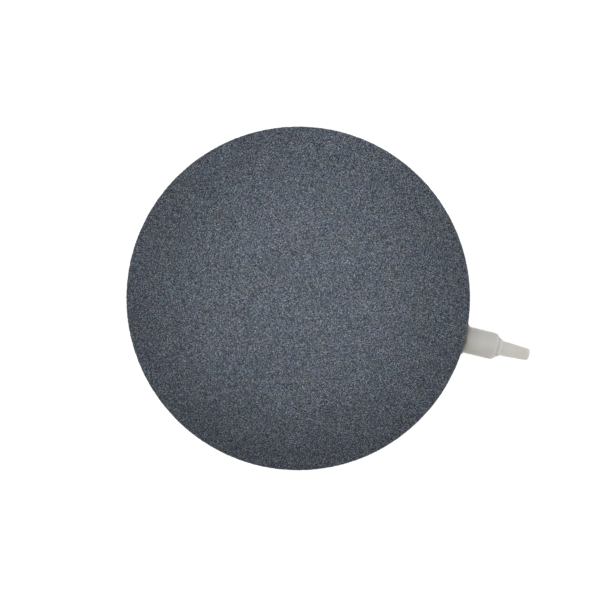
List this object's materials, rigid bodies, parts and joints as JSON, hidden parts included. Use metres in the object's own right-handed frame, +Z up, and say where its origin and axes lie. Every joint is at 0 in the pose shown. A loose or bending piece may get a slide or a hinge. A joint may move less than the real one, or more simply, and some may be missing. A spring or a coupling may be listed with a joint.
{
  "type": "air stone",
  "caption": "Round flat air stone of porous bonded grit that blows fine bubbles, with an inner air gallery, a resin-sealed underside and a tapered hose nozzle in the rim.",
  "frame": {"origin": "centre of the disc, on the flat underside that it rests on", "axes": "+Z up through the disc's thickness, +X out along the nozzle's axis"},
  "size_m": [0.1563, 0.13, 0.018],
  "materials": {
    "bonded_grit": "slate blue-grey bonded mineral grit, open-pored and matt",
    "adhesive": "cured epoxy adhesive, dark amber, slightly glossy",
    "sealing_resin": "brushed-on resin coat, near black, satin over the grit",
    "sleeve_plastic": "milky natural polyethylene, slightly translucent",
    "spigot_plastic": "milky natural polyethylene, slightly warmer and more translucent"
  },
  "bodies": {
    "root": {"upper_stone": "bonded_grit", "lower_stone": "bonded_grit", "rim_bond": "adhesive", "land_bonds": "adhesive", "underside_seal": "sealing_resin", "nozzle_sleeve": "sleeve_plastic", "socket_bond": "adhesive", "hose_spigot": "spigot_plastic"}
  },
  "joints": []
}
